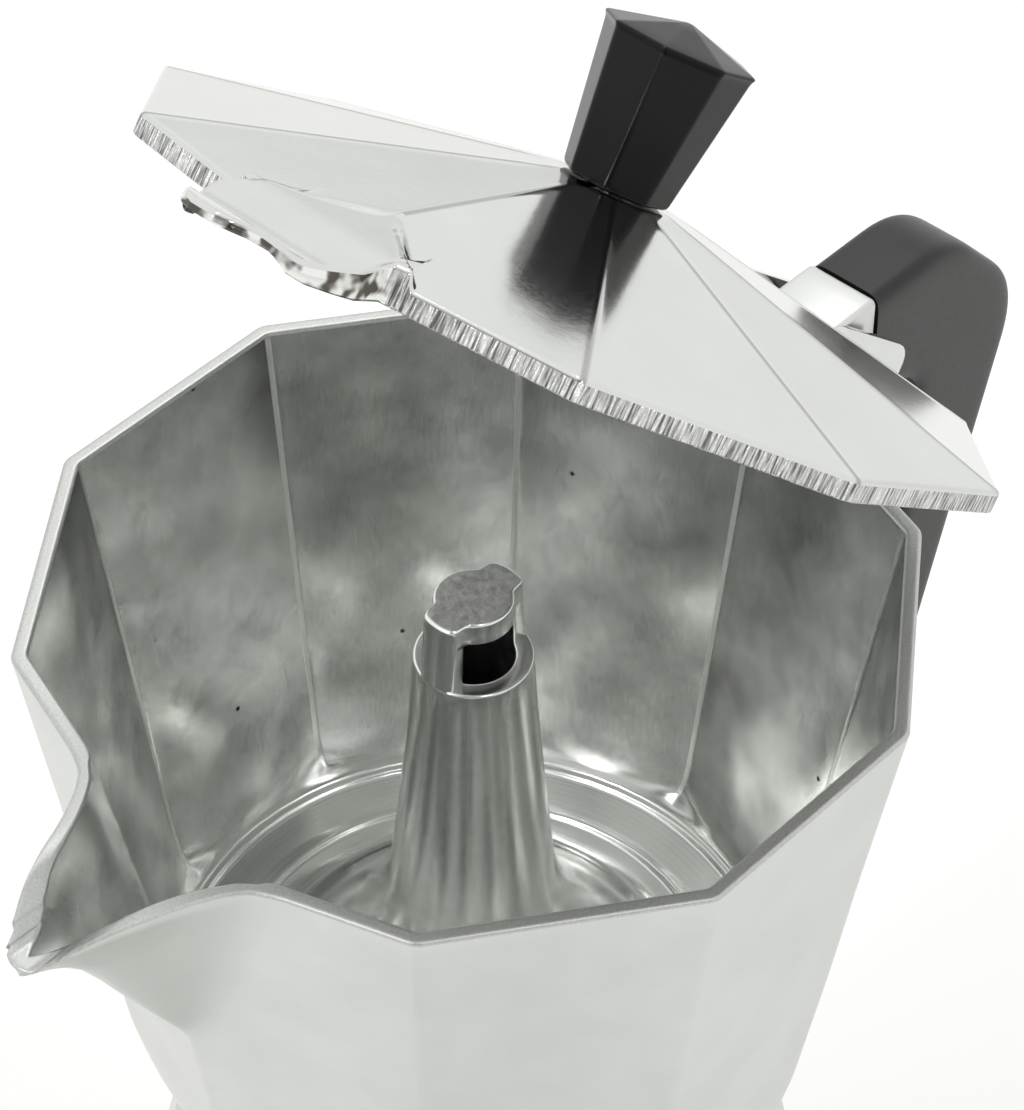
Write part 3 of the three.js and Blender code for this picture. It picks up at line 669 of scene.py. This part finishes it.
HEAD_TOP_RINGS = 5
head_turn = np.linspace(0, 2 * math.pi, 145)[:-1]
web_tip = np.minimum(7.85, WEB_HALF * 1.02 / np.maximum(np.abs(np.sin(head_turn)), 1e-3))
web_tip = np.where(np.abs(np.sin(head_turn)) < 0.5, web_tip, 0)
head_reach = soft_max(web_tip, 5.75, 0.7)
head_reach = np.convolve(np.pad(head_reach, 2, mode="wrap"), np.full(5, 0.2), "valid")
t = np.linspace(0, math.pi / 2, 6)
inset = np.concatenate([[5.6, 4.2, 2.8, 1.4], 0.55 * (1 - np.sin(t)), [0, 0, 0.35, 5.6]])
head_z = np.concatenate([np.full(4, COLUMN_TOP), COLUMN_TOP - 0.55 * (1 - np.cos(t)),
                         [203, COLUMN_CAP + 0.4, COLUMN_CAP, COLUMN_CAP]])
share = 1 - inset / 5.75
head = piece("head", skin(standing(head_reach * share[:, None], head_z[:, None] + 0 * head_turn,
                                   head_turn)), CUP_FINISHES,
             np.repeat(np.where(np.arange(len(share)) < HEAD_TOP_RINGS, SAND, COLUMN)[:, None],
                       len(head_turn), 1))
combine(collector, head, "UNION")
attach(collector, "upper")
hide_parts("collector")

# ---- Handle --------------------------------------------------------------------------------
# A one-piece phenolic moulding, slipped over the hinge block's tenon and held by a screw from
# below. The mould's two halves meet in a fine raised line along its middle.

HANDLE_HALF = 6.5
satin_phenolic, tree, shader, place = new_finish(
    "satin_moulded_phenolic", Specular_IOR_Level=0.4)
peel = noise(tree, place, 0.7, 3)
flow = noise(tree, place, 18, 3)
dress(tree, shader, mixed(tree, flow, "#171716", "#1f1f1e"),
      ranged(tree, peel, 0, 1, 0.3, 0.46), [(peel, 0.04, 0.4)])


def evenly(path, count):
    """Points at even distances along a polyline of [x, z] points."""
    at = np.concatenate([[0], np.cumsum(np.linalg.norm(np.diff(path, axis=0), axis=1))])
    even = np.linspace(0, at[-1], count)
    return np.stack([np.interp(even, at, path[:, k]) for k in range(2)], 1)


SEAM = BOSS_END + 0.3
HANDLE_TOP = RIM + 0.093 * RIM_CORNER
outer_edge = evenly(filleted([
    (SEAM, HANDLE_TOP, 0), (101.1, HANDLE_TOP, 8), (119.88, 192.0, 9), (101.2, 129.3, 12),
    (97.8, 118.3, 4), (92.5, 113.6, 0)], longest=2.0, steps=12), 150)
inner_edge = evenly(filleted([
    (SEAM, 190.0, 0), (94.9, 189.1, 8), (95.5, 165.7, 12), (86.5, 134.5, 8),
    (83.5, 117.6, 4), (89.8, 113.6, 0)], longest=2.0, steps=12), 150)
# Each section is a box with rounded edges, and a fine raised line runs along its middle.
turn = np.linspace(0, 2 * math.pi, 97)[:-1] + math.pi / 96
wide = np.sign(np.sin(turn)) * np.abs(np.sin(turn)) ** 0.25
deep = np.sign(np.cos(turn)) * np.abs(np.cos(turn)) ** 0.25
centre, half_depth = (outer_edge + inner_edge) / 2, (outer_edge - inner_edge) / 2
unit = half_depth / np.linalg.norm(half_depth, axis=1)[:, None]
parting = 0.25 * np.exp(-(wide * HANDLE_HALF / 0.4) ** 2) * np.sign(deep)
flat = (centre[:, None] + half_depth[:, None] * deep[None, :, None]
        + unit[:, None] * parting[None, :, None])
handle_rings = np.stack([flat[..., 0], HANDLE_HALF * wide + 0 * flat[..., 0], flat[..., 1]], -1)
handle = piece("handle_moulding", skin(handle_rings), [satin_phenolic])
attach(handle, "upper")
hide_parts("handle")

# ---- Lid -----------------------------------------------------------------------------------
# Pressed from aluminium sheet and mirror polished: a ten-sided pyramid with a turned-down
# skirt, a tongue over the spout and two ears for the hinge. The skirt's edge is left sheared.

PIN = (1.126 * RIM_CORNER, RIM - 0.072 * RIM_CORNER)
LID_OPEN = math.radians(37.1)
LID_BASE = RIM + 3.4
LID_CORNER = 0.995 * RIM_CORNER
LID_RISE = 0.198 * RIM_CORNER
LID_CROWN = 8.6
LID_SHEET = 1.2
EAR = (9.3, 11.0)

# Tongue stations in rim radii: distance, half width, height of its top and of the skirt's
# lower edge. Up to the lid's edge the half width is that of a raised kite on the lid.
TONGUE = np.array([
    (0.69, 0.0, 0.07, -0.048), (0.8, 0.11, 0.054, -0.048), (0.92, 0.243, 0.0345, -0.048),
    (0.978, 0.222, 0.023, -0.048), (1.03, 0.197, 0.013, -0.048),
    (1.08, 0.176, 0.004, -0.048), (1.135, 0.15, -0.007, -0.046),
    (1.175, 0.132, 0.001, -0.036), (1.215, 0.115, 0.022, -0.008),
    (1.26, 0.087, 0.03, 0.002), (1.29, 0.06, 0.0285, 0.003), (1.308, 0.03, 0.026, 0.003),
]) * RIM_CORNER


def opened(points):
    """Turns points of the shut lid about the hinge pin to where the lid rests open."""
    x, y, z = np.moveaxis(points, -1, 0)
    x, z = x - PIN[0], z - PIN[1]
    c, s = math.cos(LID_OPEN), math.sin(LID_OPEN)
    return np.stack([PIN[0] + c * x + s * z, y, PIN[1] - s * x + c * z], -1)


def lid_outline(angles):
    """The lid's edge: the decagon, reaching out along the tongue, cut straight at the hinge."""
    edge = polygon(angles, LID_CORNER, 2.2)
    x = np.linspace(TONGUE[4, 0], TONGUE[-1, 0], 300)
    half = np.interp(x, TONGUE[:, 0], TONGUE[:, 1])
    away = np.abs(angles - math.pi)
    within = x[None] * np.tan(np.minimum(away, 0.9))[:, None] <= half[None]
    count = within.sum(1)
    tongue = np.where(count > 0, x[np.clip(count - 1, 0, 299)], 0)
    tongue = tongue / np.cos(np.minimum(away, 0.9))
    edge = np.maximum(edge, tongue)
    hinge = np.minimum(angles, 2 * math.pi - angles)
    cut = 0.915 * RIM_CORNER
    beside = np.abs(cut * np.tan(np.minimum(hinge, 0.9))) < EAR[0] + 1
    return np.where(beside, np.minimum(edge, cut / np.cos(hinge)), edge), beside


tongue_x = np.linspace(TONGUE[0, 0], TONGUE[-1, 0], 201)
tongue_top = np.interp(tongue_x, TONGUE[:, 0], TONGUE[:, 2])
tongue_top = np.convolve(np.pad(tongue_top, 12, "reflect", reflect_type="odd"),
                         np.full(25, 0.04), "valid")


def lid_height(x, y):
    """Height of the sheet's top over the plan.

    The pyramid falls by its slope with the share of the way to the decagon's edge, and a bead
    with a bell-shaped section runs along each ridge. Between the kite's sides, softened over a
    millimetre or two, the tongue's own height along its length takes over."""
    angle = np.arctan2(y, x) % (2 * math.pi)
    out = np.hypot(x, y)
    rounding = np.minimum(1.2 * LID_CORNER / np.maximum(out, 4), 14)
    share = out / polygon(angle, LID_CORNER, rounding)
    slope = LID_RISE / (1 - LID_CROWN / LID_CORNER)
    turn = (angle + HALF_SIDE) % (2 * HALF_SIDE) - HALF_SIDE
    bead = 0.1 * np.exp(-(out * np.sin(turn) / 0.55) ** 2) * np.clip((out - 10) / 4, 0, 1)
    pyramid = np.minimum(slope * (1 - share) + bead, LID_RISE)
    half = np.interp(-x, TONGUE[:, 0], TONGUE[:, 1])
    top = np.interp(-x, tongue_x, tongue_top)
    wide = np.where(y > 0, 7.0, 3.0)
    near_root = np.clip((-x - 0.84 * RIM_CORNER) / (0.09 * RIM_CORNER), 0, 1)
    width = wide + (1.6 - wide) * near_root
    blend = np.clip((half - np.abs(y)) / width + 0.15, 0, 1)
    weight = np.where(-x > TONGUE[0, 0], blend * blend * (3 - 2 * blend), 0)
    weight = np.where(-x > 0.93 * RIM_CORNER, 1, weight)
    return LID_BASE + pyramid + (top - pyramid) * weight


lid_columns = cup_columns
outline, at_hinge = lid_outline(lid_columns)
on_tongue = outline > polygon(lid_columns, LID_CORNER, 2.2) + 0.2
reach_x = -outline * np.cos(lid_columns)
skirt_low = np.where(on_tongue, LID_BASE + np.interp(reach_x, TONGUE[:, 0], TONGUE[:, 3]),
                     LID_BASE - 3.1)


def lid_ring(reach, drop=0.0):
    """A ring of the lid's sheet at a distance from the axis, lowered by a drop."""
    x, y = reach * np.cos(lid_columns), reach * np.sin(lid_columns)
    return np.stack([x, y, lid_height(x, y) - drop], -1)


share_out = np.concatenate([[0.04, 0.12, LID_CROWN / LID_CORNER],
                            np.linspace(0.15, 0.985, 60)])
FOLD = 0.8
fold_start = lid_ring(outline - 0.78 * FOLD)
fold_centre = fold_start[:, 2] - FOLD * math.cos(math.radians(13))
skirt_low = np.where(at_hinge, fold_centre - 0.2, skirt_low)
lid_rings = [lid_ring(np.minimum(outline * share, outline - 0.8)) for share in share_out]
for angle in np.radians([13, 30, 47, 64, 78, 90]):
    lid_rings.append(standing(outline - FOLD * (1 - math.sin(angle)),
                              fold_centre + FOLD * math.cos(angle), lid_columns))
skirt_start = len(lid_rings)
for part in (0.3, 0.6, 0.9):
    bulge = np.where(on_tongue, 0.35 * math.sin(math.pi * part), 0)
    bulge = np.where(reach_x > TONGUE[-2, 0], 0, bulge)
    lid_rings.append(standing(outline + bulge,
                              fold_centre + (skirt_low - fold_centre) * part, lid_columns))
lid_rings.append(standing(outline - 0.3, skirt_low, lid_columns))
lid_rings.append(standing(outline - LID_SHEET + 0.2, skirt_low, lid_columns))
inner_start = len(lid_rings)
for part in (0.8, 0.4, 0.0):
    inner_top = np.minimum(fold_centre, fold_start[:, 2] - LID_SHEET)
    lid_rings.append(standing(outline - LID_SHEET,
                              np.maximum(inner_top + (skirt_low - inner_top) * part,
                                         skirt_low + 0.04 * (1 - part)), lid_columns))
lid_rings += [lid_ring(np.minimum(outline * share, outline - LID_SHEET - 0.3), LID_SHEET)
              for share in share_out[::-1]]
lid_rings = np.array(lid_rings)
paint = np.zeros(lid_rings.shape[:2], int)
# The tongue's edge, and three columns beyond it on either side, take the lip finish with its
# painted reflections.
lip = on_tongue | np.roll(on_tongue, 3) | np.roll(on_tongue, -3)
paint[skirt_start - 2:inner_start] = np.where(lip, 3, np.where(at_hinge, 0, 1))
paint[inner_start:] = 2

# Mirror-polished sheet: a clear reflection, softened by a fine haze of buffing specks. Along
# a ridge a dark line is painted into the colour: a painted reflection of the ridge. The ridges
# lie at every tenth of a turn round the shut lid's axis, so the distance to one is the radius
# times a folded angle's sine.
polished_sheet, tree, shader, place = new_finish(
    "mirror_polished_aluminium_sheet", Metallic=1.0)
haze = noise(tree, place, 0.5, 4)
buff = noise(tree, place, 12, 3)
shut = add(tree, "ShaderNodeVectorRotate", {
    "Vector": place, "Center": (PIN[0] * MM, 0, PIN[1] * MM), "Axis": (0, 1, 0),
    "Angle": -LID_OPEN})
plan = add(tree, "ShaderNodeSeparateXYZ", {0: shut.outputs[0]})
flat_plan = add(tree, "ShaderNodeCombineXYZ", {0: plan.outputs[0], 1: plan.outputs[1]})
out = add(tree, "ShaderNodeVectorMath", {0: flat_plan.outputs[0]}, operation="LENGTH")


def figured(tree, operation, *values):
    """The result of an arithmetic node."""
    node = add(tree, "ShaderNodeMath", dict(enumerate(values)), operation=operation)
    return node.outputs[0]


around = figured(tree, "ARCTAN2", plan.outputs[1], plan.outputs[0])
folded = figured(tree, "SINE", figured(tree, "PINGPONG", around, HALF_SIDE))
beside = figured(tree, "MULTIPLY", folded, out.outputs["Value"])
# Painted reflection: the sheet's colour turns towards dark grey within 0.2 to 0.7 mm of each
# ridge.
ridge_reflection_fade = ranged(tree, beside, 0.2 * MM, 0.7 * MM, 0.55, 0, interpolation_type="SMOOTHSTEP")
before_kite = figured(tree, "GREATER_THAN", plan.outputs[0], -TONGUE[0, 0] * MM)
off_tongue = figured(tree, "GREATER_THAN", figured(tree, "ABSOLUTE", plan.outputs[1]),
                     20 * MM)
painted_ridge_reflection = figured(tree, "MULTIPLY", ridge_reflection_fade, figured(tree, "MAXIMUM", before_kite, off_tongue))
buffed = mixed(tree, buff, "#cecfcc", "#d8d9d6")
# The painted ridge reflection is left off the front ridge over the tongue.
dress(tree, shader, mixed(tree, painted_ridge_reflection, buffed, "#7c7c7a"),
      ranged(tree, haze, 0, 1, 0.07, 0.19), [(buff, 0.08, 0.4), (haze, 0.008, 0.5)])

# Sheared edge: the press tears ragged upright lines about a millimetre apart.
sheared_edge, tree, shader, place = new_finish("sheared_aluminium_edge", Metallic=1.0)
levelled = add(tree, "ShaderNodeMapping", {"Vector": place, "Rotation": (0, -LID_OPEN, 0)})
upright_place = add(tree, "ShaderNodeMapping", {"Vector": levelled.outputs[0],
                                                "Scale": (1, 1, 0.06)})
tears = noise(tree, upright_place.outputs[0], 0.32, 3, Roughness=0.6)
contrast = ranged(tree, tears, 0.38, 0.6, 0, 1)
dress(tree, shader, mixed(tree, contrast, "#6a6a68", "#eeeeec"),
      ranged(tree, contrast, 0, 1, 0.42, 0.22), [(tears, 0.6, 0.8)])

# Underside: the same sheet, left as pressed, with a duller rolled finish.
pressed_sheet, tree, shader, place = new_finish("pressed_aluminium_sheet", Metallic=1.0)
rolled = add(tree, "ShaderNodeMapping", {"Vector": place, "Scale": (0.06, 1, 1)})
rolling = noise(tree, rolled.outputs[0], 0.35, 3)
dress(tree, shader, mixed(tree, rolling, "#b5b6b4", "#d0d1ce"),
      ranged(tree, rolling, 0, 1, 0.24, 0.4), [(rolling, 0.02, 0.5)])

# Rolled lip: the tongue's edge is worked round, so it shines like chrome, and dark patches
# of painted reflection run across it.
rolled_lip_painted_reflection, tree, shader, place = new_finish("rolled_aluminium_lip_painted_reflection", Metallic=1.0)
painted_reflection_patches = noise(tree, place, 4, 2)
# Painted reflection: the colour swings from dark brown-grey to near white in patches about 4 mm
# across.
contrast = ranged(tree, painted_reflection_patches, 0.44, 0.56, 0, 1, interpolation_type="SMOOTHSTEP")
dress(tree, shader, mixed(tree, contrast, "#5a5550", "#e6e6e3"),
      ranged(tree, contrast, 0, 1, 0.22, 0.1))

LID_FINISHES = [polished_sheet, sheared_edge, pressed_sheet, rolled_lip_painted_reflection]
lid = piece("lid_pressing", skin(opened(lid_rings), looped=True), LID_FINISHES, paint, 80)

EAR_TOP = RIM + 0.083 * RIM_CORNER
ear_outline = closed_outline([
    (0.86 * RIM_CORNER, RIM + 3.6, 0.5), (0.87 * RIM_CORNER, RIM + 1.0, 0.5),
    (0.965 * RIM_CORNER, RIM + 1.0, 1), (PIN[0] - 5.5, PIN[1] - 6.5, 3),
    (PIN[0] + 3, PIN[1] - 9.6, 4), (PIN[0] + 8.2, PIN[1] - 2, 4),
    (PIN[0] + 8, EAR_TOP - 1.5, 4), (0.93 * RIM_CORNER, EAR_TOP, 2)])
for low, high in ((-EAR[1], -EAR[0]), (EAR[0], EAR[1])):
    ear = piece("ear", skin(opened(rounded_slab(ear_outline, (71, 208.6), low, high, 0.4))),
                LID_FINISHES)
    combine(lid, ear, "UNION", crease=80)
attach(lid, "cover")
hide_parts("lid")

# ---- Knob ----------------------------------------------------------------------------------
# An eight-sided phenolic moulding that widens to a low pointed top, polished in the mould and
# screwed on through the lid. Its edges are softened by the polishing.

KNOB_FOOT = LID_BASE + LID_RISE + 0.3
KNOB_SIDES = 8
glossy_phenolic, tree, shader, place = new_finish(
    "glossy_moulded_phenolic", Specular_IOR_Level=0.22)
specks = noise(tree, place, 0.5, 4)
flow = noise(tree, place, 9, 3)
dress(tree, shader, mixed(tree, flow, "#070706", "#0d0d0c"),
      ranged(tree, specks, 0, 1, 0.14, 0.26), [(flow, 0.08, 0.3)])

offsets = np.radians([-20, -14, -9, -6, -4.5, -3, -1.5, 0, 1.5, 3, 4.5, 6, 9, 14, 20, 22.5])
knob_edges = (2 * np.arange(KNOB_SIDES)[:, None] + 1) * math.pi / KNOB_SIDES
knob_columns = (knob_edges + offsets).ravel()
knob_path = filleted([
    (2.4, 0, 0), (7.4, 0, 0.3), (7.9, 0.5, 0.4), (10.9, 20.4, 0.6), (11.4, 21.1, 0.7),
    (0.6, 24.0, 0)], longest=3.0)
from_edge = knob_columns - math.pi / KNOB_SIDES
reach = np.array([polygon(from_edge, corner, min(1.1, corner * 0.2), KNOB_SIDES)
                  for corner in knob_path[:, 0]])
knob_rings = standing(reach, KNOB_FOOT + knob_path[:, 1:] + 0 * reach, knob_columns)
knob = piece("knob_moulding", skin(opened(knob_rings)), [glossy_phenolic])
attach(knob, "cover")
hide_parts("knob")

# ---- Pins, screws and washers --------------------------------------------------------------
# Turned steel: the hinge pin with its riveted heads, the handle's screw, and the screw and
# washer that hold the knob from inside the lid.

bright_steel, tree, shader, place = new_finish("turned_bright_steel", Metallic=1.0)
marks = noise(tree, place, 0.3, 4)
dress(tree, shader, mixed(tree, marks, "#9c9da0", "#c9cacc"),
      ranged(tree, marks, 0, 1, 0.18, 0.36), [(marks, 0.02, 0.5)])

PIN_END = EAR[1] + 0.8
pin_rings = turned([(0.3, -PIN_END, 0), (1.1, -PIN_END, 0.3), (1.5, -PIN_END + 0.5, 0.3),
                    (1.5, PIN_END - 0.5, 0.3), (1.1, PIN_END, 0.3), (0.3, PIN_END, 0)], 40)
pin_x, pin_y, pin_z = np.moveaxis(pin_rings, -1, 0)
pin = piece("hinge_rivet", skin(np.stack([PIN[0] + pin_x, pin_z, PIN[1] + pin_y], -1)),
            [bright_steel])
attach(pin, "upper")
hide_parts("hinge_pin")


def refinish(finish, *names):
    """Gives CAD pieces that keep their own mesh another material."""
    for name in names:
        nodes[name].data.materials.clear()
        nodes[name].data.materials.append(finish)


refinish(bright_steel, "handle_screw", "knob_screw", "knob_washer", "valve_poppet",
         "valve_spring")

# ---- Safety valve --------------------------------------------------------------------------
# A turned brass body with a hexagon, screwed into the boiler's pad over a red fibre washer.

brass, tree, shader, place = new_finish("turned_brass", Metallic=1.0)
marks = noise(tree, place, 0.4, 4)
tarnish = noise(tree, place, 5, 3)
dress(tree, shader, mixed(tree, tarnish, "#b08a3e", "#d8b56a"),
      ranged(tree, marks, 0, 1, 0.2, 0.4), [(marks, 0.02, 0.5)])
refinish(brass, "valve_body", "valve_cap")

fibre, tree, shader, place = new_finish("red_vulcanised_fibre", IOR=1.5)
felt = noise(tree, place, 0.3, 5)
dress(tree, shader, mixed(tree, felt, "#7c2a20", "#a03a2b"),
      ranged(tree, felt, 0, 1, 0.6, 0.85))
refinish(fibre, "valve_washer")

# ---- Funnel, plates and gasket -------------------------------------------------------------
# Spun and punched from plain aluminium sheet, with a silicone ring that seals the two vessels.

spun_sheet, tree, shader, place = new_finish("spun_aluminium_sheet", Metallic=1.0)
xyz = add(tree, "ShaderNodeSeparateXYZ", {0: place})
spinning = add(tree, "ShaderNodeTexNoise", {"W": xyz.outputs[2], "Scale": 1000 / 0.4,
                                            "Detail": 3}, noise_dimensions="1D")
spun = spinning.outputs["Fac"]
dress(tree, shader, mixed(tree, spun, "#b0b1af", "#cfd0cd"),
      ranged(tree, spun, 0, 1, 0.26, 0.44))
refinish(spun_sheet, "funnel", "funnel_sieve", "filter_plate")

silicone, tree, shader, place = new_finish("white_silicone", IOR=1.41)
dust = noise(tree, place, 0.6, 4)
dress(tree, shader, mixed(tree, dust, "#dedbd2", "#efede6"),
      ranged(tree, dust, 0, 1, 0.45, 0.65))
refinish(silicone, "gasket")
